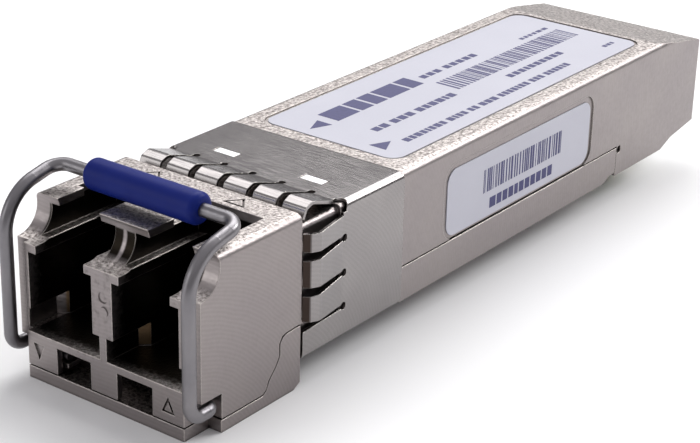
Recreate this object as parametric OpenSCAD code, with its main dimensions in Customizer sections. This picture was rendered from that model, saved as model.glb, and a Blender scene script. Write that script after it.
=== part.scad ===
// Small pluggable optical transceiver: two LC ports in front, a bail latch, and an edge connector behind.
// +X runs across the module, +Y from the ports to the edge connector, +Z up.
// The origin is under the middle of the closed module, on the plane of the nose's underside.
// Inside the modules y is counted from the port face; in_place() moves each piece to the origin.

/* [Castings] */
// Length from the port face to the rear edge
module_length = 56.5; // [56:0.1:58]
// Width of the body that slides into the cage
body_width = 13.46; // [13.4:0.02:13.5]
// Height of the body that slides into the cage
body_height = 8.6; // [8.5:0.05:8.7]
// Width of the nose outside the cage
nose_width = 13.7; // [13.7:0.05:13.9]
// Height of the nose outside the cage
nose_height = 10.8; // [10.8:0.05:11]
// Wall of the castings
wall = 0.8; // [0.7:0.05:0.85]
// Rounding of the long top edges
edge_round = 0.5; // [0.3:0.05:0.55]

/* [Optical ports] */
// Distance between the two port centres
port_pitch = 6.25; // [6.2:0.05:6.3]
// Width of one port
port_width = 4.9; // [4.6:0.05:5]
// Height of the port floor
port_floor = 3.0; // [2.95:0.05:3.05]
// Height of the two rails that hold the plug's lever down
rail_height = 8.0; // [7.9:0.05:8.05]
// Height of the optical axis
optic_height = 5.5; // [5.4:0.05:5.6]
// Bore of the alignment sleeve, for a 1.25 mm ferrule
ferrule_bore = 1.28; // [1.26:0.01:1.3]

/* [Spring collar] */
// Thickness of the collar's sheet
sheet = 0.2; // [0.15:0.01:0.2]
// Length of the collar along the module
collar_length = 9.75; // [9.5:0.05:10]
// How far the top fingers rise over the sheet
finger_rise = 0.62; // [0.55:0.01:0.65]

/* [Bail and latch] */
// Diameter of the bail's wire
wire = 0.8; // [0.75:0.05:0.9]
// Diameter of the coloured grip
grip = 1.9; // [1.6:0.05:1.95]
// Length of the coloured grip
grip_length = 8.3; // [7.5:0.1:9]
// Height of the boss that locks the module in its cage
boss_drop = 0.45; // [0.4:0.01:0.48]

/* [Hidden] */
$fn = 48;

nickel = [0.73, 0.71, 0.68];
steel = [0.66, 0.67, 0.70];
ceramic = [0.93, 0.93, 0.90];
gold = [0.85, 0.66, 0.30];
chip_black = [0.12, 0.12, 0.13];
blue = [0.12, 0.16, 0.50];

// Cage datums, in millimetres from the port face or above the nose's underside
nose_length = 9;
body_floor = 1.65;
body_top = body_floor + body_height;
parting = 3.95;
seam = 0.1;
latch_shoulder = 11.5;
cover_end = 45;
pad_end = latch_shoulder + 41.8;
slope_start = 50.5;
rear_top = 9.2;
rear_floor = 1.8;

// Nose
nose_side = nose_width / 2;
front_side = 5.95;
corner_setback = 0.4;
lip = 0.78;
step_y = 2.05;
channel_top = 2.55;
port_depth = 9.6;
port_x = port_pitch / 2;
port_inner = port_x - port_width / 2 + 0.08;
port_outer = port_x + port_width / 2 + 0.08;
widened_inner = 0.25;
widened_outer = 6.2;
widened_height = 1.45;
widened_end = 2.6;
widened_slope = 0.5;
rail_tip_inner = 1.3;
rail_tip_outer = 5.05;
rail_thick = 0.65;
cap_height = 10.3;
cap_half = 1.8;
cap_depth = 4;
cutout_half = 5.55;
cutout_end = 7.2;
cutout_floor = 9.75;
web_start = 8.2;
web_top = 2.3;
scallop_y = 0.45;
scallop_z = 10.1;
scallop_r = 1.58;

// Collar
collar_end = nose_length + collar_length;
collar_half = body_width / 2 + 0.145;
finger_root = 12.8;
top_fold = 10.1;
side_fold = 9.6;
side_rise = 0.42;
slot = 0.26;
slot_mouth = 0.6;
finger_pitch = 2.2;
top_finger_end = 6.25;
core_half = collar_half - sheet - 0.03;
finger_core = core_half - 0.2;

// Bail: the wire's centre line
leg_x = 6.82;
leg_y = -0.5;
pivot_y = 1.4;
pivot_z = 1.85;
bar_y = 3.75;
bar_z = 12.05;
bar_tilt = 12;
corner_bend = 1;
shoulder_bend = 2.8;
foot_bend = 0.9;
toe_bend = 0.55;
crank = 0.58;
crank_r = 0.28;
web_in = 4.25;
web_out = 4.7;

// Rocker
rocker_y = 6.6;
rocker_z = 1.85;
latch_pin_r = 0.3;
running = 0.04;
rocker_half = 2.4;
channel_half = 3.15;
front_channel_half = 4.9;

// Middle of the closed module along y, from the front of the bail to the rear edge
mid_y = (module_length + leg_y - wire / 2) / 2;

// Optics: radii shared by pieces that fit together
stub_r = 0.85;
barrel_r = 1.45;

// Board
board_z = body_floor + 2.25;
board_thick = 1;
board_top = board_z + board_thick;
board_half = 5.6;
tongue_half = 4.6;
board_start = 22.5;
tongue_start = 45.5;
screw_y = [25.5, 41.5];

module in_place() {
    translate([0, -mid_y, 0]) children();
}

module both_sides() {
    children();
    mirror([1, 0, 0]) children();
}

// A box from its lowest and highest corners
module block(low, high) {
    translate(low) cube(high - low);
}

// A cylinder along x or y
module rod_x(y, z, r, x0, x1) {
    translate([x0, y, z]) rotate([0, 90, 0]) cylinder(r = r, h = x1 - x0);
}
module rod_y(x, z, r, y0, y1) {
    translate([x, y0, z]) rotate([-90, 0, 0]) cylinder(r = r, h = y1 - y0);
}

// An outline in the y-z plane carried along x, and one in the x-z plane carried along y
module along_x(x0, x1) {
    translate([x0, 0, 0]) rotate([90, 0, 90]) linear_extrude(x1 - x0) children();
}
module along_y(y0, y1) {
    translate([0, y1, 0]) rotate([90, 0, 0]) linear_extrude(y1 - y0) children();
}

// Half-width and height span with round top corners, and round bottom ones where low_r is above 0
module section(half, z0, z1, top_r, low_r = 0) {
    translate([-half, z0 + low_r]) square([2 * half, z1 - z0 - top_r - low_r]);
    translate([-half + top_r, z1 - top_r - 0.01]) square([2 * (half - top_r), top_r + 0.01]);
    for (s = [-1, 1]) translate([s * (half - top_r), z1 - top_r]) circle(top_r);
    if (low_r > 0) {
        translate([-half + low_r, z0]) square([2 * (half - low_r), low_r + 0.01]);
        for (s = [-1, 1]) translate([s * (half - low_r), z0 + low_r]) circle(low_r);
    }
}

// A strip of even thickness that follows points in the y-z plane
module strip(points, thick) {
    for (i = [0 : len(points) - 2]) {
        step = points[i + 1] - points[i];
        translate(points[i]) rotate(atan2(step[1], step[0]))
            translate([0, -thick / 2]) square([norm(step), thick]);
    }
    for (i = [1 : len(points) - 2]) translate(points[i]) circle(d = thick, $fn = 16);
}

// ---- Castings ----

// The side of the nose where the lower casting rises behind the upper one
function cheek(gap) = [[5.6, lip - 0.1], [5.6, lip + gap], [5.9, lip + 0.2 + gap], [6.2 - gap, 1.56],
    [6.85 - gap, 2.26], [7.15 - gap, 2.75], [7.15 - gap, 3.5], [7.4 - gap, 3.8 + gap],
    [7.7, 3.9 + gap], [nose_length, parting + gap], [nose_length + 0.2, parting + gap],
    [nose_length + 0.2, lip - 0.1]];

// Everything that a plug and its lever need, on the +X side
module port_cuts() {
    block([port_inner, -1, port_floor], [port_outer, port_depth, rail_height]);
    translate([0, 0, port_floor]) linear_extrude(widened_height) polygon([[widened_inner, -1],
        [widened_outer, -1], [widened_outer, widened_end], [port_outer, widened_end + widened_slope],
        [port_inner, widened_end + widened_slope], [widened_inner, widened_end]]);
    block([rail_tip_inner, -1, rail_height - 0.01], [rail_tip_outer, port_depth, rail_height + rail_thick]);
    block([port_inner, -1, rail_height + rail_thick], [port_outer, cutout_end, cap_height]);
    block([cap_half, -1, cap_height - 0.01], [rail_tip_outer, cap_depth + 0.01, nose_height + 1]);
}

// The round hollow across the front that the bail's legs pass
module scallop() {
    rod_x(scallop_y, scallop_z, scallop_r, -8, 8);
    block([-8, -1, scallop_z - scallop_r], [8, scallop_y, nose_height + 1]);
}

module direction_marks() {
    translate([-5.1, 0, 1.35]) along_y(-0.1, 0.12) polygon([[-0.42, 1], [0.42, 1], [0, 0]]);
    translate([4.8, 0, 1.4]) along_y(-0.1, 0.12) difference() {
        polygon([[-0.48, 0], [0.48, 0], [0, 1]]);
        polygon([[-0.26, 0.14], [0.26, 0.14], [0, 0.68]]);
    }
    for (x = [-3.4, 3]) translate([x, 7.6, nose_height - 0.1]) linear_extrude(0.3) difference() {
        polygon([[-0.8, 0], [0.8, 0], [0, 1]]);
        polygon([[-0.55, 0.13], [0.55, 0.13], [0, 0.82]]);
    }
}

module nose() {
    difference() {
        union() {
            along_y(corner_setback, nose_length) section(nose_side, lip + seam, nose_height, edge_round);
            block([-front_side, 0, lip + seam], [front_side, 1, nose_height - 0.3]);
        }
        both_sides() port_cuts();
        block([-cutout_half, cap_depth, cutout_floor], [cutout_half, cutout_end, nose_height + 1]);
        scallop();
        // The rocker's channel, its wider front and the two windows that look into it
        block([-channel_half, 2, 0], [channel_half, nose_length + 1, channel_top]);
        block([-front_channel_half, 0.4, 0], [front_channel_half, 3.3, channel_top]);
        both_sides() block([1, -1, 0.86], [3.65, 0.6, channel_top]);
        // Room for the foot of each leg, and the bore that the bail turns in
        both_sides() block([front_side, -1, 0], [nose_side + 1, 2.1, 2.45]);
        both_sides() rod_x(pivot_y, pivot_z, wire / 2 + running, front_channel_half - 1, front_side + 1);
        both_sides() rod_x(rocker_y, rocker_z, latch_pin_r + 0.01, channel_half - 1, 4.6);
        both_sides() along_x(5.8, nose_side + 1) polygon(cheek(seam));
        block([-nose_side, web_start - seam, 0], [nose_side, nose_length + 1, web_top + 0.16]);
        direction_marks();
    }
}

// The wall behind the ports that the barrels pass through
module barrel_wall() {
    difference() {
        block([-core_half + wall + 0.1, nose_length - 0.5, port_floor - 0.4], [core_half - wall - 0.1, 11, 9.3]);
        both_sides() port_cuts();
        block([-channel_half - 0.15, 0, 0], [channel_half + 0.15, 12, 3.45]);
        block([-channel_half, 0, 0], [channel_half, port_depth, channel_top + 0.01]);
        both_sides() rod_y(port_x, optic_height, barrel_r + 0.05, 0, 12);
    }
}

// Roof and sides of the rear, with the slopes at its end, seen from the side
module shell_side() {
    polygon([[collar_end + 0.04, parting + seam], [collar_end + 0.04, body_top], [slope_start, body_top],
        [module_length - 0.15, rear_top + 0.03], [module_length, rear_top - 0.12],
        [module_length, 2.85], [53.2, 2.37], [51.75, rear_floor], [cover_end + 0.06, rear_floor],
        [cover_end + 0.06, parting + seam]]);
}

module rear_shell() {
    difference() {
        intersection() {
            along_x(-body_width / 2, body_width / 2) shell_side();
            along_y(collar_end, module_length) section(body_width / 2, 1, body_top, edge_round);
        }
        along_x(-body_width / 2 + wall, body_width / 2 - wall) polygon([[0, 0], [0, body_top - wall],
            [slope_start, body_top - wall], [module_length + 1, rear_top - wall - 0.15], [module_length + 1, 0]]);
        // Recesses for the two labels
        translate([0, 0, body_top - 0.1]) linear_extrude(1) label_outline(-5.4, 19.9, 5.4, 50.1, 1.1);
        translate([body_width / 2 - 0.1, 0, 0]) along_x(0, 1) label_outline(23.3, 4.0, 41.3, 9.1, 1.2);
        // Small relief where the lower casting's lip ends
        both_sides() rod_x(cover_end + 0.35, parting - 0.2, 0.28, body_width / 2 - 0.5, body_width / 2 + 1);
    }
}

// The part under the collar, lower where the fingers need room
module collar_core() {
    difference() {
        union() {
            along_y(nose_length - 0.1, finger_root) section(finger_core, parting + seam, body_top - 0.4, 0.3);
            along_y(finger_root, collar_end + 0.1)
                section(core_half, parting + seam, body_top - sheet - 0.02, 0.3);
            both_sides() block([2.55, 14.18, 9.8], [4.15, 14.82, body_top - 0.02]);
        }
        block([-core_half + wall, nose_length - 1, 0], [core_half - wall, 30, 9.25]);
    }
}

module upper_housing() {
    color(nickel) in_place() difference() {
        union() {
            nose();
            barrel_wall();
            collar_core();
            rear_shell();
            for (y = screw_y) translate([0, y, board_top + 0.02])
                cylinder(r = 1.3, h = body_top - wall + 0.1 - board_top);
            block([-5.1, 28.5, 6.9], [-1.1, 32.5, body_top - wall + 0.1]);
        }
        for (y = screw_y) translate([0, y, 3]) cylinder(r = 0.75, h = 5.2);
    }
}

// A rectangle with round corners, made of squares and circles
module label_outline(x0, y0, x1, y1, r) {
    translate([x0 + r, y0]) square([x1 - x0 - 2 * r, y1 - y0]);
    translate([x0, y0 + r]) square([x1 - x0, y1 - y0 - 2 * r]);
    for (x = [x0 + r, x1 - r], y = [y0 + r, y1 - r]) translate([x, y]) circle(r);
}

module lower_nose() {
    difference() {
        union() {
            along_x(-nose_side, nose_side) polygon([[step_y, 0], [step_y, lip], [8.95, lip],
                [8.95, 0.31], [8.35, 0]]);
            block([-front_side, 0, 0], [front_side, step_y + 0.1, lip]);
            both_sides() along_x(5.95, nose_side) intersection() {
                polygon(cheek(0));
                square([8.95, 10]);
            }
            both_sides() block([channel_half + 0.1, web_start, lip - 0.1], [nose_side - 0.5, 8.95, web_top]);
        }
        // Shallow pockets that the tips of the rocker dip into
        both_sides() block([3.2, 0.4, 0.36], [4.4, 2.4, lip + 1]);
    }
}

module lower_tray() {
    difference() {
        union() {
            along_y(8.7, finger_root) section(finger_core, body_floor + sheet + 0.02, parting, 0.01, 0.2);
            along_y(finger_root, collar_end + 0.1)
                section(core_half, body_floor + sheet + 0.02, parting, 0.01, 0.2);
            along_x(-body_width / 2, body_width / 2) polygon([[collar_end + 0.04, body_floor],
                [collar_end + 0.04, parting], [cover_end, parting], [cover_end, 2.05], [44.3, 2.05],
                [43.4, body_floor]]);
        }
        block([-core_half + wall, 8, 2.4], [core_half - wall, 50, 5]);
        block([-channel_half, 8, 0], [channel_half, 14.95, 5]);
        // Groove in each rim for the conductive gasket
        both_sides() block([6.05, 13.2, parting - 0.3], [6.45, 43.8, parting + 1]);
    }
}

module lower_housing() {
    color(nickel) in_place() difference() {
        union() {
            lower_nose();
            lower_tray();
            for (y = screw_y) translate([0, y, 2.2]) cylinder(r = 1.4, h = board_z - 2.2);
            both_sides() for (y = [24, 37]) block([4.9, y, 2.3], [core_half - wall + 0.1, y + 4, board_z]);
        }
        for (y = screw_y) translate([0, y, 1]) {
            cylinder(r = 0.85, h = 4);
            translate([0, 0, body_floor - 1 - 0.01]) cylinder(r1 = 1.5, r2 = 0.85, h = 0.66);
        }
    }
}

module emi_gaskets() {
    color([0.35, 0.35, 0.36]) in_place() both_sides()
        block([6.06, 13.25, parting - 0.29], [6.44, 43.75, parting + seam]);
}

module housing_screws() {
    color(steel) in_place() for (y = screw_y) difference() {
        translate([0, y, body_floor]) {
            cylinder(r1 = 1.47, r2 = 0.73, h = 0.65);
            cylinder(r = 0.73, h = 6.3);
        }
        for (turn = [0, 90]) translate([0, y, 1]) rotate(turn) translate([-0.75, -0.16, 0])
            cube([1.5, 0.32, body_floor - 1 + 0.35]);
    }
}

// ---- Spring collar ----

// Middle of a finger's sheet seen from the side: along the module, then out from the sheet's outer face.
// It rises from the root to a crest, slopes forward there, then folds steeply down at its front.
function finger_line(rise, fold) = [[finger_root + 0.1, -sheet / 2], [finger_root - 0.05, -sheet / 2],
    [fold + 0.75, rise - 0.13], [fold + 0.6, rise - 0.1], [fold + 0.5, rise - 0.11],
    [fold + 0.05, rise - 0.28], [fold, rise - 0.33], [fold - 0.25, -0.25]];

// Plan of one slot: it widens towards the tips and ends in a round hole at the root
module slot_plan() {
    polygon([[slot / 2, finger_root + 0.12], [-slot / 2, finger_root + 0.12],
        [-slot_mouth / 2, 9], [slot_mouth / 2, 9]]);
    translate([0, finger_root + 0.12]) circle(0.24);
}

module collar_tube(y0, y1) {
    along_y(y0, y1) difference() {
        section(collar_half, body_floor, body_top, 0.45, 0.35);
        section(collar_half - sheet, body_floor + sheet, body_top - sheet, 0.25, 0.15);
    }
}

module emi_collar() {
    side_slots = [3.69, 5.84, 8.05];
    side_top = 9.45;
    color(steel) in_place() difference() {
        union() {
            collar_tube(finger_root, collar_end);
            intersection() {
                collar_tube(9.15, finger_root + 0.1);
                block([-8, 0, 0], [8, 20, side_slots[0]]);
            }
            along_x(-top_finger_end, top_finger_end) translate([0, body_top])
                strip(finger_line(finger_rise, top_fold), sheet);
            both_sides() translate([0, 0, side_slots[0] - 0.01]) linear_extrude(side_top - side_slots[0])
                mirror([1, -1, 0]) translate([0, collar_half]) strip(finger_line(side_rise, side_fold), sheet);
        }
        // Slots, the corner reliefs, the two catch windows, and the room that the rocker needs below
        for (i = [-2 : 2]) translate([i * finger_pitch, 0, body_top - 0.5]) linear_extrude(2) slot_plan();
        both_sides() for (z = side_slots) along_x(collar_half - 0.5, 8) translate([0, z])
            mirror([1, -1, 0]) slot_plan();
        both_sides() translate([collar_half - 0.4, finger_root + 0.1, body_top - 0.6])
            cylinder(r = 0.42, h = 1);
        both_sides() block([2.5, 14.12, body_top - 1], [4.2, 14.88, body_top + 1]);
        block([-channel_half - 0.2, 8, 0], [channel_half + 0.2, 15.2, body_floor + 1]);
    }
}

// ---- Bail ----

// A quarter or part of a ring of wire, with a bead at its end that joins it to the next stretch
module bend(r, from, sweep) {
    rotate_extrude(angle = sweep, start = from) translate([r, 0]) circle(d = wire);
    for (a = [from, from + sweep]) rotate(a) translate([r, 0, 0]) sphere(d = wire + 0.008);
}

module bail_leg() {
    tangent = shoulder_bend * tan((90 - bar_tilt) / 2);
    reach = (bar_y - leg_y) / cos(bar_tilt);
    corner_z = bar_z - (bar_y - leg_y) * tan(bar_tilt);
    // Half of the crossbar, the corner and the sloping stretch, in the plane of the slope
    translate([0, bar_y, bar_z]) rotate([bar_tilt, 0, 0]) {
        rod_x(0, 0, wire / 2, -0.01, leg_x - corner_bend);
        translate([leg_x - corner_bend, -corner_bend, 0]) bend(corner_bend, 0, 90);
        rod_y(leg_x, 0, wire / 2, tangent - reach, -corner_bend);
    }
    translate([leg_x, leg_y + shoulder_bend, corner_z - tangent]) rotate([90, 0, 90])
        bend(shoulder_bend, 90 + bar_tilt, 90 - bar_tilt);
    translate([leg_x, leg_y, pivot_z + foot_bend])
        cylinder(d = wire, h = corner_z - tangent - pivot_z - foot_bend);
    translate([leg_x, leg_y + foot_bend, pivot_z + foot_bend]) rotate([90, 0, 90]) bend(foot_bend, 180, 90);
    rod_y(leg_x, pivot_z, wire / 2, leg_y + foot_bend, pivot_y - toe_bend);
    translate([leg_x - toe_bend, pivot_y - toe_bend, pivot_z]) bend(toe_bend, 0, 90);
    rod_x(pivot_y, pivot_z, wire / 2, web_in, leg_x - toe_bend);
}

// The flattened end of the wire, with the pin that presses the rocker down
module bail_crank() {
    rod_x(pivot_y - crank, pivot_z, crank_r + 0.04, web_in, web_out);
    block([web_in, pivot_y - crank, pivot_z - crank_r], [web_out, pivot_y, pivot_z + crank_r]);
    rod_x(pivot_y - crank, pivot_z, crank_r, 3.4, web_in + 0.1);
}

module bail_wire() {
    color(steel) in_place() both_sides() {
        bail_leg();
        bail_crank();
    }
}

module bail_grip() {
    round_r = 0.4;
    color(blue) in_place() translate([0, bar_y, bar_z]) rotate([0, 90, 0]) difference() {
        rotate_extrude() {
            translate([0, -grip_length / 2 + round_r]) square([grip / 2, grip_length - 2 * round_r]);
            translate([0, -grip_length / 2]) square([grip / 2 - round_r, grip_length]);
            for (s = [-1, 1]) translate([grip / 2 - round_r, s * (grip_length / 2 - round_r)]) circle(round_r);
        }
        translate([0, 0, -grip_length]) cylinder(r = wire / 2 + 0.01, h = 2 * grip_length);
    }
}

// ---- Latch ----

module latch_rocker() {
    color(nickel) in_place() difference() {
        union() {
            along_x(-rocker_half, rocker_half) polygon([[2.1, 1.35], [2.1, 2.2], [9.6, 2.2], [14.6, 2.2],
                [14.6, body_floor + 0.05], [3.4, body_floor + 0.05], [2.9, 1.35]]);
            rod_x(rocker_y, rocker_z, 0.62, -rocker_half, rocker_half);
            along_x(-4.2, 4.2) polygon([[2.1, 1.35], [2.1, 2.2], [3, 2.2], [3, 1.6], [2.9, 1.35]]);
            both_sides() block([3.4, 0.6, 1.1], [4.2, 2.2, 1.4]);
            both_sides() block([3.4, 2.0, 1.1], [4.2, 2.2, 1.6]);
            // The boss: square in front, where it locks, and sloped behind, where it enters the cage
            along_x(-1.3, 1.3) polygon([[latch_shoulder, 2], [latch_shoulder, body_floor - boss_drop],
                [latch_shoulder + 2.1, body_floor - boss_drop], [latch_shoulder + 2.6, body_floor + 0.05],
                [latch_shoulder + 2.6, 2]]);
        }
        rod_x(rocker_y, rocker_z, latch_pin_r + running, -4, 4);
    }
}

module latch_pin() {
    color(steel) in_place() rod_x(rocker_y, rocker_z, latch_pin_r, -4.5, 4.5);
}

module latch_spring() {
    color(steel) in_place() along_x(-1.5, 1.5)
        strip([[9.7, 3.38], [11, 3.36], [12.2, 2.75], [13.2, 2.3], [13.7, 2.28], [14.2, 2.45]], 0.12);
}

// ---- Optics ----

module barrel(x) {
    color(steel) in_place() translate([x, 0, optic_height]) difference() {
        union() {
            rod_y(0, 0, barrel_r, 4.8, 12);
            rod_y(0, 0, 2.2, 11.9, 12.7);
        }
        rod_y(0, 0, 0.95, 4, 9.3);
        rod_y(0, 0, stub_r + 0.01, 9, 13);
    }
}

module alignment_sleeve(x) {
    color(ceramic) in_place() translate([x, 0, optic_height]) difference() {
        rod_y(0, 0, 0.94, 5.4, 9.29);
        rod_y(0, 0, ferrule_bore / 2, 5, 10);
    }
}

module fibre_stub(x) {
    color(ceramic) in_place() rod_y(x, optic_height, stub_r, 9.31, 12.6);
}

module subassembly_body(x) {
    color(nickel) in_place() translate([x, 0, optic_height]) difference() {
        union() {
            rod_y(0, 0, 1.9, 12.71, 13.6);
            rod_y(0, 0, 2.3, 13.5, 17);
        }
        rod_y(0, 0, 1.2, 12, 18);
    }
}

module diode_can(x) {
    color(gold) in_place() translate([x, 0, optic_height]) difference() {
        union() {
            rod_y(0, 0, 2.1, 17.01, 19.8);
            rod_y(0, 0, 2.6, 19.7, 20.6);
        }
        rod_y(0, 0, stub_r, 17, 17.4);
    }
}

module leads(x) {
    color(gold) in_place() for (i = [0 : 3]) rod_y(x + 1.27 * cos(45 + 90 * i),
        optic_height + 1.27 * sin(45 + 90 * i), 0.2, 20.61, 22.2);
}

// The film that carries the signals from the can's leads down to the board
module flex(x) {
    color([0.72, 0.45, 0.15]) in_place() difference() {
        along_x(x - 1.7, x + 1.7) strip([[21.2, 4.0], [21.2, 7.3], [21.5, 7.6], [22.4, 7.6],
            [22.9, 7.2], [23.7, 5.3], [24.2, board_top + 0.08], [27, board_top + 0.08]], 0.12);
        for (i = [0 : 3]) rod_y(x + 1.27 * cos(45 + 90 * i),
            optic_height + 1.27 * sin(45 + 90 * i), 0.22, 20, 22.3);
    }
}

module barrel_retainer() {
    color(chip_black) in_place() difference() {
        block([-5.7, 11.05, 3.5], [5.7, 11.85, 8.4]);
        both_sides() rod_y(port_x, optic_height, barrel_r + 0.02, 10, 13);
    }
}

// ---- Board ----

module circuit_board() {
    color([0.10, 0.35, 0.20]) in_place() difference() {
        union() {
            block([-board_half, board_start, board_z], [board_half, tongue_start, board_top]);
            block([-tongue_half, tongue_start - 0.1, board_z], [tongue_half, pad_end - 0.4, board_top]);
            along_x(-tongue_half, tongue_half) polygon([[pad_end - 0.5, board_z], [pad_end - 0.3, board_z],
                [pad_end, board_z + 0.3], [pad_end, board_top - 0.3], [pad_end - 0.3, board_top],
                [pad_end - 0.5, board_top]]);
        }
        for (y = screw_y) translate([0, y, 3]) cylinder(r = 0.9, h = 3);
    }
}

// Ten gold pads above and ten below, 0.8 mm apart
module edge_contacts() {
    color(gold) in_place() for (i = [-4.5 : 4.5], z = [board_z - 0.04, board_top])
        block([i * 0.8 - 0.27, 49.4, z], [i * 0.8 + 0.27, pad_end - 0.5, z + 0.04]);
}

// A moulded package with its row of leads on two sides
module package(x, y, w, l, h, pitch) {
    z = board_top + 0.1;
    translate([x, y, 0]) {
        block([-w / 2, -l / 2, z], [w / 2, l / 2, z + h]);
        for (s = [-1, 1], i = [-floor(l / pitch / 2 - 0.5) : floor(l / pitch / 2 - 0.5)])
            translate([s * w / 2, i * pitch, 0])
                block([-0.25, -pitch / 4, board_top], [0.25, pitch / 4, z + 0.05]);
    }
}

module laser_driver_chip() {
    color(chip_black) in_place() package(-3.1, 30.5, 3.8, 4, 0.75, 0.5);
}
module limiting_amplifier_chip() {
    color(chip_black) in_place() package(3.1, 30.5, 3.8, 4, 0.75, 0.5);
}
module controller_chip() {
    color(chip_black) in_place() package(-3, 36.4, 4.4, 4.8, 0.9, 0.5);
}
module memory_chip() {
    color(chip_black) in_place() package(3.2, 35.5, 2.6, 3, 0.9, 0.65);
}

module chip_capacitors() {
    rows = [[-4.6, 33.4, 0], [0.2, 28, 0], [0.2, 32.6, 0], [0.9, 34.6, 1], [0.9, 37.6, 1], [-4.4, 40.2, 0],
        [2.3, 38, 0], [4.3, 38, 0], [4.7, 33.4, 0], [-1.4, 44, 1], [1.2, 44, 1], [3.6, 44, 1]];
    color([0.62, 0.52, 0.40]) in_place() for (r = rows) translate([r[0], r[1], board_top]) rotate(90 * r[2]) {
        block([-0.4, -0.25, 0.01], [0.4, 0.25, 0.5]);
        both_sides() block([0.35, -0.27, 0], [0.55, 0.27, 0.52]);
    }
}

module power_inductors() {
    places = [[-3.6, 42.6], [3.4, 41]];
    color([0.30, 0.30, 0.32]) in_place() for (p = places) translate([p[0], p[1], board_top]) {
        block([-1, -1, 0], [1, 1, 0.3]);
        cylinder(r = 0.85, h = 1.1);
        block([-1, -1, 1], [1, 1, 1.3]);
    }
}

module thermal_pad() {
    color([0.55, 0.60, 0.62]) in_place() block([-4.9, 28.7, board_top + 0.86], [-1.3, 32.3, 6.89]);
}

// ---- Labels ----

module top_label() {
    color("white") in_place() translate([0, 0, body_top - 0.1])
        linear_extrude(0.06) label_outline(-5.2, 20.1, 5.2, 49.9, 0.9);
}

module side_label() {
    color("white") in_place() translate([body_width / 2 - 0.1, 0, 0])
        along_x(0, 0.06) label_outline(23.7, 4.2, 40.9, 8.7, 0.9);
}

upper_housing();
lower_housing();
emi_collar();
bail_wire();
bail_grip();
latch_rocker();
latch_pin();
latch_spring();
circuit_board();
edge_contacts();
barrel(-port_x);  // tx_barrel
barrel(port_x);  // rx_barrel
alignment_sleeve(-port_x);  // tx_alignment_sleeve
alignment_sleeve(port_x);  // rx_alignment_sleeve
fibre_stub(-port_x);  // tx_fibre_stub
fibre_stub(port_x);  // rx_fibre_stub
subassembly_body(-port_x);  // transmitter_body
subassembly_body(port_x);  // receiver_body
diode_can(-port_x);  // laser_can
diode_can(port_x);  // photodiode_can
leads(-port_x);  // laser_leads
leads(port_x);  // photodiode_leads
flex(-port_x);  // tx_flex
flex(port_x);  // rx_flex
barrel_retainer();
laser_driver_chip();
limiting_amplifier_chip();
controller_chip();
memory_chip();
chip_capacitors();
power_inductors();
thermal_pad();
emi_gaskets();
housing_screws();
top_label();
side_label();
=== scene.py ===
# %% [markdown]
# # A pluggable optical transceiver
# A module of this kind slides into a metal cage on a network switch. Its two ports take the plugs of
# a pair of optical fibres, and a wire bail with a blue grip lets it out again. The shapes, sizes and
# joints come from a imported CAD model, so this lesson only dresses them: it makes the finishes, the
# printed marks on the labels, and a small studio to see them in.

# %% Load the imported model
import math

import bpy
import numpy as np
from mathutils import Matrix, Vector


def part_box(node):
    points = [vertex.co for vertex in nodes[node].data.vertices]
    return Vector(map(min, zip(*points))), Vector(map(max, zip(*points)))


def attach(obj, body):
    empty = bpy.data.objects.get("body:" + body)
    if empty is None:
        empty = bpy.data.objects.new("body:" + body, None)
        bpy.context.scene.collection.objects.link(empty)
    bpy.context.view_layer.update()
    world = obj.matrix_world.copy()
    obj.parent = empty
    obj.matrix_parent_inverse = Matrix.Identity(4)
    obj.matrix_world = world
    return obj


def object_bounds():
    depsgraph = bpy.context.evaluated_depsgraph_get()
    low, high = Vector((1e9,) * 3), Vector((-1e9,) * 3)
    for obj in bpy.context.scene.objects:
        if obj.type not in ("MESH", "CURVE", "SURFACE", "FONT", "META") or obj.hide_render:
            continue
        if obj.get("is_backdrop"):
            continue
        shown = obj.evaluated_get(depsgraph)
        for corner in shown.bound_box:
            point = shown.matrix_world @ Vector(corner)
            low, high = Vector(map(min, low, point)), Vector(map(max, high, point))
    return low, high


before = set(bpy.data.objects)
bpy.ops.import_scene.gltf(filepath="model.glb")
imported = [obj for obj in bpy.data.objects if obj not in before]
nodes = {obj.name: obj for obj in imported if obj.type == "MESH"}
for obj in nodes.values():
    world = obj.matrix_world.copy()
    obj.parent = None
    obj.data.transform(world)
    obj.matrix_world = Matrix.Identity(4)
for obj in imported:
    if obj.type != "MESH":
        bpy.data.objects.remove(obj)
cad_box = [list(corner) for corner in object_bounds()]
mm = 0.001
size = [round((high - low) / mm, 2) for low, high in zip(*cad_box)]
print("pieces:", len(nodes), "size in mm:", size)

# %% [markdown]
# ## Where things are
# Every position is taken from the CAD pieces' own boxes. The port face is the front of the upper
# casting, and most sizes on a module of this kind are counted from it.

# %% Find the main planes
port_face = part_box("upper_housing")[0][1]
nose_rear = port_face + 9 * mm  # the nose is 9 mm long
label_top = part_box("top_label")[1][2]
label_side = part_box("side_label")[1][0]
print("port face at", round(port_face / mm, 2), "mm, top label at", round(label_top / mm, 2), "mm")

# %% [markdown]
# ## Camera
# A long lens keeps the perspective mild, so parallel edges stay nearly parallel. The
# camera stands to the right of the ports, looks down by about 24 degrees and is tipped by a degree.

# %% Place the camera
def aim(azimuth, elevation, roll):
    """Turns three angles in degrees into the camera's right, up and back directions.
    back points from the object to the camera; right and up are turned about it by roll."""
    az, el, turn = (math.radians(angle) for angle in (azimuth, elevation, roll))
    back = Vector((math.sin(az) * math.cos(el), -math.cos(az) * math.cos(el), math.sin(el)))
    level = Vector((0, 0, 1)).cross(back).normalized()
    upright = back.cross(level)
    right = math.cos(turn) * level + math.sin(turn) * upright
    return right, back.cross(right), back


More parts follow.
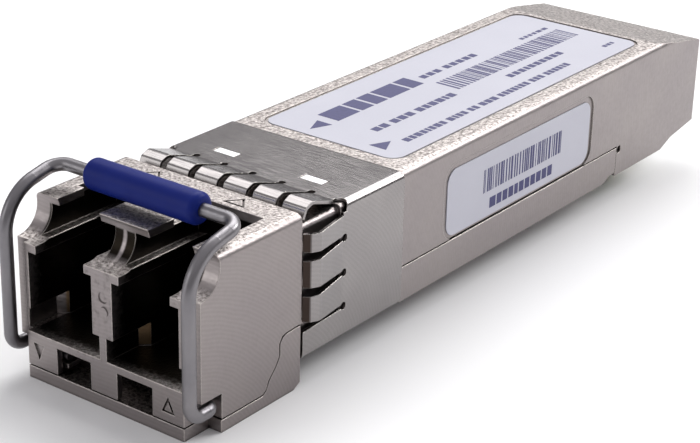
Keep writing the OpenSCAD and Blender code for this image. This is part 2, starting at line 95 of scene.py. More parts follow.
right, up, back = aim(36.568, 23.630, 1.418)
target = Vector((0, port_face + 20 * mm, 5 * mm))
lens = bpy.data.cameras.new("product_lens")
lens.lens, lens.sensor_width = 97.93, 36
lens.clip_start, lens.clip_end = 0.005, 5
camera = bpy.data.objects.new("product_camera", lens)
sideways, lowered, distance = 1.574, 0.232, 119.62
place = target + (sideways * right - lowered * up + distance * back) * mm
camera.matrix_world = Matrix.Translation(place) @ Matrix((right, up, back)).transposed().to_4x4()
bpy.context.scene.collection.objects.link(camera)
bpy.context.scene.camera = camera
print("camera", [round(value / mm, 1) for value in place], "mm, lens", lens.lens, "mm")

# %% [markdown]
# ## Colours and nodes
# Paint and plastic colours are usually written as sRGB hex values, while Blender mixes light in
# linear values, so one function turns the first into the second. A second small function adds a
# node with its settings and links, which keeps each recipe short enough to read.

# %% Two helpers for recipes
def linear(hex_colour):
    """Turns #RRGGBB into linear red, green, blue and alpha, by the sRGB formula:
    v / 12.92 below 0.04045, and ((v + 0.055) / 1.055) to the power 2.4 above it."""
    value = np.array([int(hex_colour[i:i + 2], 16) for i in (1, 3, 5)]) / 255
    curve = np.where(value <= 0.04045, value / 12.92, ((value + 0.055) / 1.055) ** 2.4)
    return (*curve.tolist(), 1.0)


def add(tree, kind, inputs=None, **settings):
    """Adds one node. settings are its options; inputs are its sockets' values, or the nodes and
    outputs that feed them."""
    node = tree.nodes.new("ShaderNode" + kind)
    for name, value in settings.items():
        setattr(node, name, value)
    for name, value in (inputs or {}).items():
        if isinstance(value, bpy.types.Node):
            value = value.outputs[0]
        if isinstance(value, bpy.types.NodeSocket):
            tree.links.new(value, node.inputs[name])
        else:
            node.inputs[name].default_value = value
    return node


print("mid grey #808080 is", round(linear("#808080")[0], 3), "in linear light")

# %% [markdown]
# Every finish starts the same way, from one physically based shader, and ends the same way, on the
# material slots of some CAD pieces. Patterns are worked out from the place in the object's own space,
# so they have real sizes and stay on a piece when it moves.

# %% Start a finish and put it on
def begin(name, colour, metallic, roughness):
    """Starts a material: returns it with its node tree, its shader and the point on it in metres."""
    material = bpy.data.materials.new(name)
    material.use_nodes = True
    tree = material.node_tree
    shader = tree.nodes["Principled BSDF"]
    shader.inputs["Base Color"].default_value = linear(colour)
    shader.inputs["Metallic"].default_value = metallic
    shader.inputs["Roughness"].default_value = roughness
    material.diffuse_color = linear(colour)
    return material, tree, shader, add(tree, "TexCoord").outputs["Object"]


def dress(material, *names):
    """Puts a material on every slot of the named CAD pieces."""
    for name in names:
        for slot in nodes[name].material_slots:
            slot.link = "DATA"
            slot.material = material
    print(material.name, "->", ", ".join(names))


print("CAD pieces to dress:", len(nodes))

# %% [markdown]
# A finish often changes from place to place: shade is painted deep in a port, and an edge turns
# bright, partly from rubbing and partly as a painted highlight. Three masks say where. The first is a
# soft box. The second compares the true surface with one whose edges are rounded: they differ only
# along edges, where plating wears and the painted highlight goes. The third finds gaps and corners,
# where little light and no polish reach, and painted shade goes there.

# %% Three masks
def soft_box(tree, where, low, high, fade):
    """1 inside the box from low to high (metres, mirrored left and right), falling to 0 at fade
    metres outside it: the largest of |p - centre| - half over the three axes, mapped to 1..0."""
    low, high = np.array(low), np.array(high)
    mirrored = add(tree, "SeparateXYZ", {0: where})
    side = add(tree, "Math", {0: mirrored.outputs["X"]}, operation="ABSOLUTE")
    point = add(tree, "CombineXYZ", {"X": side, "Y": mirrored.outputs["Y"], "Z": mirrored.outputs["Z"]})
    offset = add(tree, "VectorMath", {0: point, 1: ((low + high) / 2).tolist()}, operation="SUBTRACT")
    away = add(tree, "VectorMath", {0: offset}, operation="ABSOLUTE")
    over = add(tree, "VectorMath", {0: away, 1: ((high - low) / 2).tolist()}, operation="SUBTRACT")
    parts = add(tree, "SeparateXYZ", {0: over})
    flat = add(tree, "Math", {0: parts.outputs["X"], 1: parts.outputs["Y"]}, operation="MAXIMUM")
    gap = add(tree, "Math", {0: flat, 1: parts.outputs["Z"]}, operation="MAXIMUM")
    return add(tree, "MapRange", {"Value": gap, "From Min": 0.0, "From Max": fade,
                                  "To Min": 1.0, "To Max": 0.0}, interpolation_type="SMOOTHSTEP")


def worn_and_highlit_edges(tree, radius):
    """Rounded normal, and a mask that is 1 along edges: the cosine between the rounded and the true
    normal, mapped from 0.995..0.85 to 0..1, so a tilt of a third of a right angle counts in full."""
    rounded = add(tree, "Bevel", {"Radius": radius}, samples=4)
    true = add(tree, "NewGeometry").outputs["Normal"]
    cosine = add(tree, "VectorMath", {0: rounded, 1: true}, operation="DOT_PRODUCT")
    mask = add(tree, "MapRange", {"Value": cosine.outputs["Value"], "From Min": 0.995,
                                  "From Max": 0.85, "To Min": 0.0, "To Max": 1.0})
    return rounded, mask


def crevices(tree, reach):
    """1 in gaps and corners, 0 in the open: the share of the sky that surfaces within reach
    metres leave open, mapped from 0.8..0.35 to 0..1."""
    open_share = add(tree, "AmbientOcclusion", {"Distance": reach}, samples=8).outputs["AO"]
    return add(tree, "MapRange", {"Value": open_share, "From Min": 0.8, "From Max": 0.35})


def blend_colours(tree, factor, first, second):
    """Mixes two hex colours or colour outputs: first * (1 - factor) + second * factor. A Mix node
    lists its sockets for every kind of value, so those for colours go by their numbers."""
    factor_in, first_in, second_in, colour_out = 0, 6, 7, 2
    first, second = (linear(value) if isinstance(value, str) else value for value in (first, second))
    mixed = add(tree, "Mix", {factor_in: factor, first_in: first, second_in: second}, data_type="RGBA")
    return mixed.outputs[colour_out]


print("masks: soft box, worn edges, crevices")

# %% [markdown]
# ## Nickel-plated zinc castings
# The two housings are die-cast zinc with satin nickel plating. Zinc takes the texture of its mould:
# the top of the nose and the border round the label come out sandy, with a grain of about 0.2 mm,
# and the sides come out smooth with faint arcs from the milled mould. Real mill marks are closer
# together than the 0.24 mm drawn here, which is as fine as still shows. Nickel is a warm grey metal.
# A scan of real metal could be wrapped on, but it would have a seam and a fixed size, so the grain
# is worked out from noise instead.

# %% Grain and arcs
wave_period = 0.314  # a wave texture at scale 1 repeats after this many metres
zinc, tree, shader, where = begin("satin_nickel_on_cast_zinc", "#958E8B", 1.0, 0.36)
rounded, edge = worn_and_highlit_edges(tree, 0.10 * mm)
facing = add(tree, "SeparateXYZ", {0: add(tree, "NewGeometry").outputs["Normal"]})
upward = add(tree, "MapRange", {"Value": facing.outputs["Z"], "From Min": 0.75, "From Max": 0.95})
sand = add(tree, "TexNoise", {"Vector": where, "Scale": 1 / (0.20 * mm), "Detail": 3.0, "Roughness": 0.7})
skin = add(tree, "TexNoise", {"Vector": where, "Scale": 1 / (0.30 * mm), "Detail": 2.0})
blotch = add(tree, "TexNoise", {"Vector": where, "Scale": 1 / (5 * mm), "Detail": 3.0})
arc_centre = add(tree, "Mapping", {"Vector": where, "Location": (0, 30 * mm, 4 * mm)})
arcs = add(tree, "TexWave", {"Vector": arc_centre, "Scale": wave_period / (0.24 * mm), "Distortion": 5.0,
                             "Detail": 1.0, "Detail Scale": 0.3}, wave_type="RINGS", rings_direction="X")
height_top = add(tree, "Math", {0: sand.outputs["Fac"], 1: upward}, operation="MULTIPLY")
height_side = add(tree, "Math", {0: skin.outputs["Fac"], 1: 0.25}, operation="MULTIPLY")
height_arcs = add(tree, "Math", {0: arcs.outputs["Fac"], 1: 0.05}, operation="MULTIPLY")
height_low = add(tree, "Math", {0: height_side, 1: height_arcs}, operation="ADD")
height_cast = add(tree, "Math", {0: height_top, 1: height_low}, operation="ADD")
print("casting height: sand on top, skin and arcs on the sides")

# %% [markdown]
# The web between the ports carries two crescent scars where plugs have knocked it. A crescent is a
# disc with a second disc, moved to one side, taken away.

# %% Crescent scars
def disc(tree, where, centre, radius):
    """1 within radius of a line along y through centre (metres), fading to 0 over 0.06 mm:
    the distance is the length of (point - centre) with its y set to zero."""
    flat = add(tree, "VectorMath", {0: where, 1: (1, 0, 1)}, operation="MULTIPLY")
    away = add(tree, "VectorMath", {0: flat, 1: centre}, operation="DISTANCE").outputs["Value"]
    return add(tree, "MapRange", {"Value": away, "From Min": radius, "From Max": radius + 0.06 * mm,
                                  "To Min": 1.0, "To Max": 0.0})


def crescent(tree, where, x, z, radius, shift):
    """A disc at x, z in millimetres, less the same disc moved by shift: disc * (1 - moved)."""
    full = disc(tree, where, (x * mm, 0, z * mm), radius * mm)
    moved = disc(tree, where, ((x + shift) * mm, 0, (z + shift) * mm), radius * mm)
    kept = add(tree, "Math", {0: 1.0, 1: moved}, operation="SUBTRACT")
    return add(tree, "Math", {0: full, 1: kept}, operation="MULTIPLY")


web_front = soft_box(tree, where, (0, port_face - 0.3 * mm, 4.7 * mm),
                     (0.7 * mm, port_face + 0.1 * mm, 7.3 * mm), 0.05 * mm)
both = add(tree, "Math", {0: crescent(tree, where, 0.1, 6.9, 0.30, 0.10),
                          1: crescent(tree, where, 0.2, 6.1, 0.26, -0.09)}, operation="MAXIMUM")
scar = add(tree, "Math", {0: both, 1: web_front}, operation="MULTIPLY")
height = add(tree, "Math", {0: height_cast, 1: scar}, operation="SUBTRACT")
relief = add(tree, "Bump", {"Strength": 0.7, "Distance": 0.06 * mm, "Height": height, "Normal": rounded})
tree.links.new(relief.outputs[0], shader.inputs["Normal"])
print("casting relief: cast surface less two scars")

# %% [markdown]
# Little light reaches the bottom of a port, so painted shade takes the colour down to dark brown
# within two millimetres of the face, along a ragged line. Only faces that look up from a rail stay
# bright. At the foot of each port's walls a short slope faces forward and gets a painted tan glow.

# %% Deep ports
spot = add(tree, "SeparateXYZ", {0: where})
ragged = add(tree, "Math", {0: skin.outputs["Fac"], 1: 1.2 * mm}, operation="MULTIPLY")
depth = add(tree, "Math", {0: spot.outputs["Y"], 1: ragged}, operation="ADD")
deep = add(tree, "MapRange", {"Value": depth, "From Min": port_face + 0.5 * mm,
                              "From Max": port_face + 1.6 * mm}, interpolation_type="SMOOTHSTEP")
hollow = soft_box(tree, where, (0.2 * mm, port_face - 1 * mm, 2.92 * mm),
                  (5.72 * mm, nose_rear + 1 * mm, 10.2 * mm), 0.15 * mm)
rail = add(tree, "MapRange", {"Value": spot.outputs["Z"], "From Min": 7.7 * mm, "From Max": 7.9 * mm})
rail_top = add(tree, "Math", {0: rail, 1: upward}, operation="MULTIPLY")
spared = add(tree, "Math", {0: rail_top, 1: 0.75}, operation="MULTIPLY")
sunken = add(tree, "Math", {0: 1.0, 1: spared}, operation="SUBTRACT")
ports = add(tree, "Math", {0: hollow, 1: deep}, operation="MULTIPLY")
# painted shade: the ports darken inside, while the rails' tops are spared
port_shade = add(tree, "Math", {0: ports, 1: sunken}, operation="MULTIPLY")
slope = soft_box(tree, where, (0, port_face + 2.5 * mm, 3.1 * mm),
                 (6.4 * mm, port_face + 3.2 * mm, 4.45 * mm), 0.05 * mm)
forward = add(tree, "MapRange", {"Value": facing.outputs["Y"], "From Min": -0.3, "From Max": -0.65})
# painted light: a tan glow on the forward slope at the foot of the port walls
painted_glow = add(tree, "Math", {0: slope, 1: forward}, operation="MULTIPLY")
port_shade_and_glow = blend_colours(tree, painted_glow, "#1D1914", "#8A7358")
print("ports darken from 0.5 mm behind their face")

# %% [markdown]
# The colour is built in layers: blotchy nickel, arcs on the sides that fade towards the rear, light
# and dark grains on top, the scars, painted shade in the ports, then bright edges, partly wear and
# partly painted highlight, and painted shade in the crevices. Two catches of the casting stand in the
# collar's windows, and a painted highlight turns them white.

# %% Finished zinc
# where the painted highlight on the casting's catches goes
catch = soft_box(tree, where, (2.4 * mm, port_face + 14.0 * mm, 9.6 * mm),
                 (4.3 * mm, port_face + 15.0 * mm, 10.4 * mm), 0.05 * mm)
plain = blend_colours(tree, blotch.outputs["Fac"], "#8F8889", "#9D9693")
near = add(tree, "MapRange", {"Value": spot.outputs["Y"], "From Min": nose_rear,
                              "From Max": nose_rear + 12 * mm, "To Min": 0.13, "To Max": 0.03})
faint = add(tree, "Math", {0: arcs.outputs["Fac"], 1: near}, operation="MULTIPLY")
lined = blend_colours(tree, faint, plain, "#6E6666")
grains = add(tree, "MapRange", {"Value": sand.outputs["Fac"], "From Min": 0.36, "From Max": 0.64})
flecks = blend_colours(tree, grains, "#5F5754", "#CFC8C4")
flecked = blend_colours(tree, upward, lined, flecks)
scar_tone = add(tree, "Math", {0: scar, 1: 0.8}, operation="MULTIPLY")
scarred = blend_colours(tree, scar_tone, flecked, "#3A3230")
# painted highlight: the catches in the collar's windows turn white
catch_highlit = blend_colours(tree, catch, scarred, "#FFFFFF")
shaded = blend_colours(tree, port_shade, catch_highlit, port_shade_and_glow)
# bright edges: partly plating wear, partly painted highlight
bright = blend_colours(tree, add(tree, "Math", {0: edge, 1: 0.6}, operation="MULTIPLY"), shaded, "#DDD5CE")
# painted shade in gaps and corners
crevice_shaded = blend_colours(tree, crevices(tree, 0.25 * mm), bright, "#1B1513")
tree.links.new(crevice_shaded, shader.inputs["Base Color"])
rough = add(tree, "MapRange", {"Value": skin.outputs["Fac"], "From Min": 0.3, "From Max": 0.7,
                               "To Min": 0.30, "To Max": 0.42})
tree.links.new(rough.outputs[0], shader.inputs["Roughness"])
dress(zinc, "upper_housing", "lower_housing", "latch_rocker")

# %% [markdown]
# ## Spring collar
# The collar is stamped from thin nickel-plated spring steel. Rolling leaves fine lines along the
# strip, here across the module, tumbling leaves faint swirls, and the colour is a little cooler than
# the castings. Real rolling lines are about 0.02 mm apart; they are drawn at 0.09 mm, so that they
# show. The folds of the side fingers face the nose closely, so painted shade makes them nearly black.

# %% Rolled spring steel
collar, tree, shader, where = begin("rolled_nickel_plated_spring_steel", "#969395", 1.0, 0.24)
rounded, edge = worn_and_highlit_edges(tree, 0.05 * mm)
stretch = add(tree, "Mapping", {"Vector": where, "Scale": (0.06, 1.0, 1.0)})
lines = add(tree, "TexNoise", {"Vector": stretch, "Scale": 1 / (0.09 * mm), "Detail": 3.0})
cloud = add(tree, "TexNoise", {"Vector": where, "Scale": 1 / (3 * mm), "Detail": 2.0})
relief = add(tree, "Bump", {"Strength": 0.3, "Distance": 0.01 * mm, "Height": lines.outputs["Fac"],
                            "Normal": rounded})
tree.links.new(relief.outputs[0], shader.inputs["Normal"])
swirl_centre = add(tree, "Mapping", {"Vector": where, "Location": (0, 20 * mm, 0)})
swirl = add(tree, "TexWave", {"Vector": swirl_centre, "Scale": wave_period / (0.26 * mm), "Distortion": 6.0,
                              "Detail": 1.0, "Detail Scale": 0.3}, wave_type="RINGS", rings_direction="X")
plain = blend_colours(tree, cloud.outputs["Fac"], "#8A8686", "#9F9B99")
faint = add(tree, "Math", {0: swirl.outputs["Fac"], 1: 0.14}, operation="MULTIPLY")
swirled = blend_colours(tree, faint, plain, "#6C686A")
front = add(tree, "SeparateXYZ", {0: add(tree, "NewGeometry").outputs["Normal"]}).outputs["Y"]
tucked = add(tree, "MapRange", {"Value": front, "From Min": -0.6, "From Max": -0.78})
beside = soft_box(tree, where, (6.6 * mm, port_face + 9 * mm, 3.6 * mm),
                  (7.6 * mm, port_face + 10 * mm, 9.6 * mm), 0.05 * mm)
# painted shade: the folds of the side fingers, which face the nose, are darkened
fold_shade = add(tree, "Math", {0: tucked, 1: beside}, operation="MULTIPLY")
base = blend_colours(tree, fold_shade, swirled, "#3A312D")
# bright edges: partly plating wear, partly painted highlight
bright = blend_colours(tree, add(tree, "Math", {0: edge, 1: 0.5}, operation="MULTIPLY"), base, "#EFEAE2")
# painted shade in gaps and corners
crevice_shaded = blend_colours(tree, crevices(tree, 0.2 * mm), bright, "#1B1513")
tree.links.new(crevice_shaded, shader.inputs["Base Color"])
rough = add(tree, "MapRange", {"Value": lines.outputs["Fac"], "From Min": 0.3, "From Max": 0.7,
                               "To Min": 0.15, "To Max": 0.27})
tree.links.new(rough.outputs[0], shader.inputs["Roughness"])
dress(collar, "emi_collar", "latch_spring")

# %% [markdown]
# ## Bail wire
# The bail is drawn stainless wire, 0.8 mm thick, tumbled to a satin finish. Tumbling leaves tiny
# shallow dents rather than lines.

# %% Tumbled stainless wire
wire, tree, shader, where = begin("tumbled_stainless_wire", "#848184", 1.0, 0.36)
dents = add(tree, "TexNoise", {"Vector": where, "Scale": 1 / (0.35 * mm), "Detail": 3.0})
tint = add(tree, "TexNoise", {"Vector": where, "Scale": 1 / (2.5 * mm), "Detail": 2.0})
relief = add(tree, "Bump", {"Strength": 0.15, "Distance": 0.02 * mm, "Height": dents.outputs["Fac"]})
tree.links.new(relief.outputs[0], shader.inputs["Normal"])
tree.links.new(blend_colours(tree, tint.outputs["Fac"], "#757377", "#8E8B8D"), shader.inputs["Base Color"])
rough = add(tree, "MapRange", {"Value": dents.outputs["Fac"], "From Min": 0.3, "From Max": 0.7,
                               "To Min": 0.31, "To Max": 0.42})
tree.links.new(rough.outputs[0], shader.inputs["Roughness"])
dress(wire, "bail_wire")

# %% [markdown]
# ## Blue grip
# The grip is moulded from polypropylene in the blue that marks a single-mode module. Its surface is
# smooth with a soft sheen, and the finest grain of the mould breaks up the highlight. Handling has
# dulled it, so it reflects less than new plastic does.

# %% Blue moulded plastic
blue, tree, shader, where = begin("blue_moulded_polypropylene", "#16246F", 0.0, 0.33)
shader.inputs["IOR"].default_value = 1.49
shader.inputs["Specular IOR Level"].default_value = 0.12
grain = add(tree, "TexNoise", {"Vector": where, "Scale": 1 / (0.12 * mm), "Detail": 2.0})
cloud = add(tree, "TexNoise", {"Vector": where, "Scale": 1 / (2.4 * mm), "Detail": 2.0})
relief = add(tree, "Bump", {"Strength": 0.2, "Distance": 0.012 * mm, "Height": grain.outputs["Fac"]})
tree.links.new(relief.outputs[0], shader.inputs["Normal"])
tree.links.new(blend_colours(tree, cloud.outputs["Fac"], "#0E1A62", "#172878"), shader.inputs["Base Color"])
rough = add(tree, "MapRange", {"Value": grain.outputs["Fac"], "From Min": 0.3, "From Max": 0.7,
                               "To Min": 0.34, "To Max": 0.46})
tree.links.new(rough.outputs[0], shader.inputs["Roughness"])
dress(blue, "bail_grip")

# %% [markdown]
# ## Labels
# Both labels are white polyester film. The film is smooth but the coating that takes the print has a
# fine tooth, and handling leaves a faint grey cast.

# %% White polyester film
film, tree, shader, where = begin("white_coated_polyester_film", "#C6C6D0", 0.0, 0.42)
shader.inputs["IOR"].default_value = 1.5
tooth = add(tree, "TexNoise", {"Vector": where, "Scale": 1 / (0.15 * mm), "Detail": 2.0})
cast = add(tree, "TexNoise", {"Vector": where, "Scale": 1 / (7 * mm), "Detail": 3.0})
relief = add(tree, "Bump", {"Strength": 0.12, "Distance": 0.01 * mm, "Height": tooth.outputs["Fac"]})
tree.links.new(relief.outputs[0], shader.inputs["Normal"])
tree.links.new(blend_colours(tree, cast.outputs["Fac"], "#B6B6C1", "#C2C2CC"), shader.inputs["Base Color"])
rough = add(tree, "MapRange", {"Value": tooth.outputs["Fac"], "From Min": 0.3, "From Max": 0.7,
                               "To Min": 0.36, "To Max": 0.48})
tree.links.new(rough.outputs[0], shader.inputs["Roughness"])
dress(film, "top_label", "side_label")

# %% [markdown]
# ## Printed marks
# A thermal printer lays a dark navy resin on the film in thousandths of a millimetre. The marks here
# are generic: two arrows for the direction of light, a bar code of random widths, and rows of plain
# blocks where a real label has words. They could be a picture on the film, but as thin solid blocks
# they stay sharp at any distance.

# %% Blocks of ink
def ink_blocks(outlines, height):
    """Flat prisms from outlines: an array of shape (n, k, 2) holds n outlines of k corners each,
    counter-clockwise. Returns the corners (floor first, then roof) and the faces."""
    outlines = np.asarray(outlines, float)
    n, k, _ = outlines.shape
    floor = np.concatenate([outlines, np.zeros((n, k, 1))], axis=2)
    roof = floor + np.array([0, 0, height])
    corners = np.concatenate([floor, roof], axis=1).reshape(-1, 3)
    start = (np.arange(n) * 2 * k)[:, None]
    ring, following = np.arange(k), (np.arange(k) + 1) % k
    walls = np.stack([ring, following, following + k, ring + k], axis=1)
    faces = [*(start + ring[::-1]).tolist(), *(start + ring + k).tolist()]
    faces += (start[:, :, None] + walls[None]).reshape(-1, 4).tolist()
    return corners, faces


def rectangles(low, high):
    """Outlines of n rectangles from their low and high corners, arrays of shape (n, 2)."""
    low, high = np.asarray(low, float), np.asarray(high, float)
    near_right = np.stack([high[:, 0], low[:, 1]], 1)
    far_left = np.stack([low[:, 0], high[:, 1]], 1)
    return np.stack([low, near_right, high, far_left], 1)


def row_of_blocks(start, end, low, high, widths, gaps):
    """A row along the first axis from start to end: the running sum of widths and gaps, scaled to
    fill it. low and high are the row's limits on the second axis."""
    widths, gaps = np.asarray(widths, float), np.asarray(gaps, float)
    steps = np.stack([widths, gaps], 1).ravel()[:-1]
    edges = start + np.concatenate([[0], np.cumsum(steps)]) * (end - start) / steps.sum()
    left, right_edge = edges[0:-1:2], edges[1::2]
    return rectangles(np.stack([left, np.full_like(left, low)], 1),
                      np.stack([right_edge, np.full_like(left, high)], 1))


def words(start, end, low, high, pattern):
    """Plain blocks in place of words: one block per entry of pattern, 1 unit apart, with 3 units
    where the entry is followed by a zero."""
    widths = [width for width in pattern if width]
    followers = [*pattern[1:], 1]
    gaps = [3.0 if following == 0 else 1.0 for width, following in zip(pattern, followers) if width]
    return row_of_blocks(start, end, low, high, widths, gaps)


bars = np.random.default_rng(7)  # a fixed seed, so the bars are the same each time


def bar_code(start, end, low, high, count):
    """count bars of one to three units, with gaps of one to three units."""
    return row_of_blocks(start, end, low, high, bars.integers(1, 4, count), bars.integers(1, 4, count))


print("a block of ink has", len(ink_blocks(rectangles([[0, 0]], [[1, 1]]), 1)[1]), "faces")

# %% [markdown]
# The marks are laid out in the label's own plane in millimetres: along the module from the port
# face first, then across it. One function turns that plane into the model's space for the top label
# and one for the side label. The ink's floor lies a thousandth of a millimetre inside the film, so
# that no gap shows.

# %% Lay out the top label
marks = [
    words(23.2, 32.6, 1.5, 3.2, [9, 5, 5, 9, 5]),
    words(33.4, 39.9, 2.0, 2.55, [3, 3, 3, 0, 3, 3, 3, 3, 3]),
    words(23.3, 32.2, -1.5, -0.9, [4, 4, 0, 4, 4, 4, 0, 4, 3, 4, 4, 2, 4]),
    words(23.1, 42.5, -4.0, -3.45, [4, 3, 4, 3, 2, 3, 4, 3, 0, 4, 2, 3, 3, 0, 3, 3, 0, 4, 4, 4, 0, 3, 3, 3,
                                   3, 2, 3, 3, 0, 3, 3, 3, 0, 3, 3, 3, 3, 2, 3]),
    bar_code(33.2, 48.6, -0.95, 0.95, 52),
    words(44.9, 48.4, 1.5, 1.85, [2, 2, 2, 2, 3, 3]),
    words(37.5, 44.3, -2.35, -1.8, [3, 3, 3, 2, 3, 3, 3, 3, 3, 3]),
    words(47.4, 48.7, -3.9, -3.55, [3, 3, 2]),
]
arrows = [[[20.9, 2.0], [22.4, 1.4], [22.4, 2.6]], [[22.5, -3.1], [21.1, -2.45], [21.1, -3.75]]]
print("top label:", sum(map(len, marks)), "blocks and", len(arrows), "arrows")

# %% Print the top label
thickness, sunk = 0.01, 0.001


def print_on(name, groups, to_space, material):
    """Makes one mesh of ink from groups of outlines in millimetres; to_space maps (along, across,
    up) to the model's space."""
    corners, faces = [], []
    for outlines in groups:
        more, ring = ink_blocks(outlines, thickness)
        faces += [[index + sum(map(len, corners)) for index in face] for face in ring]
        corners.append(more)
    mesh = bpy.data.meshes.new(name)
    mesh.from_pydata(to_space(np.concatenate(corners)).tolist(), [], faces)
    mesh.materials.append(material)
    piece = bpy.data.objects.new(name, mesh)
    bpy.context.scene.collection.objects.link(piece)
    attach(piece, "housing")
    print(name, "has", len(faces), "faces")
    return piece


ink, tree, shader, where = begin("navy_thermal_resin_ink", "#25245C", 0.0, 0.45)
cover = add(tree, "TexNoise", {"Vector": where, "Scale": 1 / (0.2 * mm), "Detail": 3.0})
tree.links.new(blend_colours(tree, cover.outputs["Fac"], "#1E1D52", "#3C3B74"), shader.inputs["Base Color"])


def on_top(p):
    """Along goes to y, across to -x and up to z."""
    return np.stack([-p[:, 1], p[:, 0] + port_face / mm, p[:, 2] + label_top / mm - sunk], 1) * mm


top_print = print_on("top_label_print", [*marks, arrows], on_top, ink)

# %% Print the side label
side_marks = [
    bar_code(27.8, 37.2, 5.95, 7.55, 36),
    words(28.6, 36.2, 4.7, 5.42, [5, 4, 4, 4, 3, 4, 4, 4, 4, 4, 4]),
]


def on_side(p):
    """Along goes to y, across to z and up to x."""
    return np.stack([p[:, 2] + label_side / mm - sunk, p[:, 0] + port_face / mm, p[:, 1]], 1) * mm


side_print = print_on("side_label_print", side_marks, on_side, ink)

# %% [markdown]
# ## Pieces inside
# The receptacles, the cans, the board and its chips are small and mostly hidden, but the rear mouth
# and the open underside show the board's tongue. Each gets the finish of the real thing. The
# barrels, the subassemblies' bodies, the pin and the screws are turned from stainless steel, so
# they carry fine rings from the cutting tool. Real ones are finer than the 0.16 mm drawn here.

# %% Turned stainless steel
turned, tree, shader, where = begin("turned_stainless_steel", "#A8A29B", 1.0, 0.3)
rings = add(tree, "TexWave", {"Vector": where, "Scale": wave_period / (0.157 * mm), "Distortion": 0.4},
            wave_type="BANDS", bands_direction="Y")
cloud = add(tree, "TexNoise", {"Vector": where, "Scale": 1 / (1.5 * mm), "Detail": 2.0})
relief = add(tree, "Bump", {"Strength": 0.2, "Distance": 0.01 * mm, "Height": rings.outputs["Fac"]})
tree.links.new(relief.outputs[0], shader.inputs["Normal"])
tree.links.new(blend_colours(tree, cloud.outputs["Fac"], "#8F8A84", "#B5B0A9"), shader.inputs["Base Color"])
dress(turned, "tx_barrel", "rx_barrel", "transmitter_body", "receiver_body", "latch_pin", "housing_screws")

# %% [markdown]
# Contacts, cans and leads are plated with hard gold over nickel. It is a rich yellow metal, a little
# paler where handling has thinned it.

# %% Gold plate
gold, tree, shader, where = begin("hard_gold_plate", "#D9B061", 1.0, 0.25)
wear = add(tree, "TexNoise", {"Vector": where, "Scale": 1 / (0.4 * mm), "Detail": 3.0})
tree.links.new(blend_colours(tree, wear.outputs["Fac"], "#C99A4A", "#E6C27A"), shader.inputs["Base Color"])
relief = add(tree, "Bump", {"Strength": 0.15, "Distance": 0.01 * mm, "Height": wear.outputs["Fac"]})
tree.links.new(relief.outputs[0], shader.inputs["Normal"])
dress(gold, "edge_contacts", "laser_can", "photodiode_can", "laser_leads", "photodiode_leads")

# %% [markdown]
# The sleeves and fibre stubs are polished zirconia, a dense white ceramic. It bends light far more
# than glass or plastic does, so its highlights are strong and sharp.

# %% Polished zirconia
zirconia, tree, shader, where = begin("polished_zirconia", "#ECEAE2", 0.0, 0.12)
shader.inputs["IOR"].default_value = 2.15
cloud = add(tree, "TexNoise", {"Vector": where, "Scale": 1 / (0.8 * mm), "Detail": 2.0})
tree.links.new(blend_colours(tree, cloud.outputs["Fac"], "#E4E1D7", "#F3F1EA"), shader.inputs["Base Color"])
dress(zirconia, "tx_alignment_sleeve", "rx_alignment_sleeve", "tx_fibre_stub", "rx_fibre_stub")

# %% [markdown]
# The board is glass-epoxy laminate under green solder mask. Copper tracks beneath the mask show as
# slightly lighter lines; they run along the module to the contacts.

# %% Solder mask
mask, tree, shader, where = begin("green_solder_mask", "#1B5A38", 0.0, 0.3)
lengthwise = add(tree, "Mapping", {"Vector": where, "Rotation": (0, 0, math.pi / 2)})
black, white = linear("#000000"), linear("#FFFFFF")
tracks = add(tree, "TexBrick", {"Vector": lengthwise, "Color1": black, "Color2": black, "Mortar": white,
                                "Scale": 1.0, "Mortar Size": 0.10 * mm, "Mortar Smooth": 0.1,
                                "Brick Width": 5.3 * mm, "Row Height": 0.8 * mm})
weave = add(tree, "TexNoise", {"Vector": where, "Scale": 1 / (0.25 * mm), "Detail": 2.0})
relief = add(tree, "Bump", {"Strength": 0.3, "Distance": 0.02 * mm, "Height": tracks.outputs["Fac"]})
tree.links.new(relief.outputs[0], shader.inputs["Normal"])
green = blend_colours(tree, weave.outputs["Fac"], "#164B2E", "#1F6440")
tree.links.new(blend_colours(tree, tracks.outputs["Fac"], green, "#3B8A58"), shader.inputs["Base Color"])
dress(mask, "circuit_board")

# %% [markdown]
# The chips are moulded in black epoxy that is filled with powdered glass, and the inductors and the
# bar over the barrels look the same: a dull charcoal with a fine pebbled surface.

# %% Moulded epoxy
epoxy, tree, shader, where = begin("black_moulded_epoxy", "#1B1B1D", 0.0, 0.5)
shot = add(tree, "TexNoise", {"Vector": where, "Scale": 1 / (0.08 * mm), "Detail": 2.0})
relief = add(tree, "Bump", {"Strength": 0.4, "Distance": 0.01 * mm, "Height": shot.outputs["Fac"]})
tree.links.new(relief.outputs[0], shader.inputs["Normal"])
tree.links.new(blend_colours(tree, shot.outputs["Fac"], "#151517", "#26262A"), shader.inputs["Base Color"])
dress(epoxy, "laser_driver_chip", "limiting_amplifier_chip", "controller_chip", "memory_chip",
      "power_inductors", "barrel_retainer")

# %% [markdown]
# Three soft or brittle materials are left. Chip capacitors are fired ceramic with a tan speckle.
# The flexible circuits are amber polyimide film, glossy with slow ripples. The thermal pad and the
# gaskets are silicone filled with grey powder, quite matt.

# %% Ceramic, film and silicone
ceramic, tree, shader, where = begin("tan_barium_titanate_ceramic", "#A58A66", 0.0, 0.45)
speck = add(tree, "TexNoise", {"Vector": where, "Scale": 1 / (0.1 * mm), "Detail": 2.0})
tree.links.new(blend_colours(tree, speck.outputs["Fac"], "#8F7553", "#BCA27E"), shader.inputs["Base Color"])
dress(ceramic, "chip_capacitors")

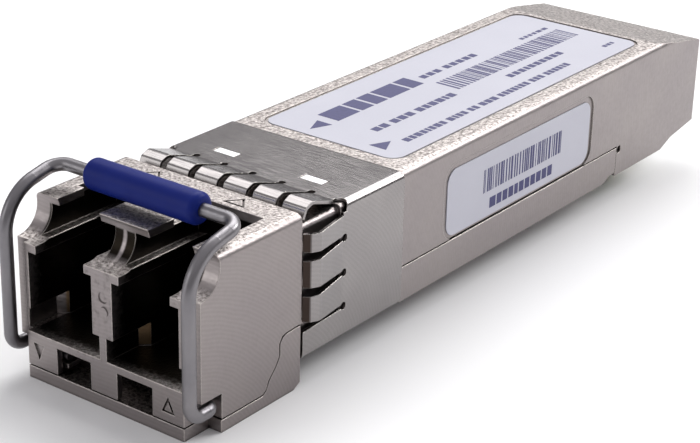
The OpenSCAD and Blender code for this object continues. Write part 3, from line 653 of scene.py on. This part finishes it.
amber, tree, shader, where = begin("amber_polyimide_film", "#B26A1E", 0.0, 0.25)
ripple = add(tree, "TexNoise", {"Vector": where, "Scale": 1 / (0.6 * mm), "Detail": 2.0})
tree.links.new(blend_colours(tree, ripple.outputs["Fac"], "#9A5816", "#C88030"), shader.inputs["Base Color"])
dress(amber, "tx_flex", "rx_flex")

silicone, tree, shader, where = begin("grey_filled_silicone", "#7F868C", 0.0, 0.7)
filler = add(tree, "TexNoise", {"Vector": where, "Scale": 1 / (0.15 * mm), "Detail": 3.0})
tree.links.new(blend_colours(tree, filler.outputs["Fac"], "#6C7378", "#949BA1"), shader.inputs["Base Color"])
dress(silicone, "thermal_pad", "emi_gaskets")

# %% [markdown]
# ## Studio
# The module lies on a pale seamless table. Paper has no gloss and shows only its shade, so it needs
# no pattern.

# %% Table
table_mesh = bpy.data.meshes.new("table")
reach = 6  # metres from the middle to each edge, so that no edge shows
table_mesh.from_pydata([(-reach, -reach, 0), (reach, -reach, 0), (reach, reach, 0), (-reach, reach, 0)], [],
                       [(0, 1, 2, 3)])
table = bpy.data.objects.new("table", table_mesh)
bpy.context.scene.collection.objects.link(table)
table_mesh.materials.append(begin("white_seamless_paper", "#F4F4F4", 0.0, 0.9)[0])
table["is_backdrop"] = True
print("table", 2 * reach, "m wide")

# %% [markdown]
# A metal shows only what it reflects, so soft lamps at several sides draw its shapes. One high at
# the back left gives the top faces their light, and one at the back right lights the long side. A
# small one at the left puts a bright line on the crests of the collar's fingers, and a weak one low
# at the front left fills the ports' face. The sky is dimmer near the horizon than overhead.

# %% Lamps and sky
def lamp(name, place, width, watts):
    """A square soft lamp at a place in metres, aimed at the module's middle."""
    light = bpy.data.lights.new(name, "AREA")
    light.shape, light.size, light.energy = "SQUARE", width, watts
    made = bpy.data.objects.new(name, light)
    made.location = place
    made.rotation_euler = Vector(place).to_track_quat("Z", "Y").to_euler()
    bpy.context.scene.collection.objects.link(made)
    print(name, watts, "W")


lamp("top_back_softbox", (-0.10, 0.26, 0.34), 0.30, 1.3)
lamp("back_right_softbox", (0.18, 0.33, 0.25), 0.18, 0.9)
lamp("overhead_strip", (-0.22, 0.11, 0.31), 0.12, 0.13)
lamp("front_fill", (-0.21, -0.30, 0.12), 0.20, 0.22)
world = bpy.data.worlds.new("studio")
world.use_nodes = True
tree = world.node_tree
height = add(tree, "SeparateXYZ", {0: add(tree, "TexCoord").outputs["Generated"]}).outputs["Z"]
sky = add(tree, "MapRange", {"Value": height, "From Min": 0.0, "From Max": 0.7,
                             "To Min": 0.22, "To Max": 0.60})
tree.links.new(sky.outputs[0], tree.nodes["Background"].inputs["Strength"])
tree.nodes["Background"].inputs["Color"].default_value = linear("#FDFBFF")
bpy.context.scene.world = world
bpy.context.scene.view_settings.view_transform = "Standard"

# %% [markdown]
# ## Size after dressing
# The last step notes the model's size before and after dressing.

# %% Measure the size again
new_box = [list(corner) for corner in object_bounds()]
grown = [round((b - a) / mm, 4) for old, new in zip(cad_box, new_box) for a, b in zip(old, new)]
print("corners moved by", grown, "mm")
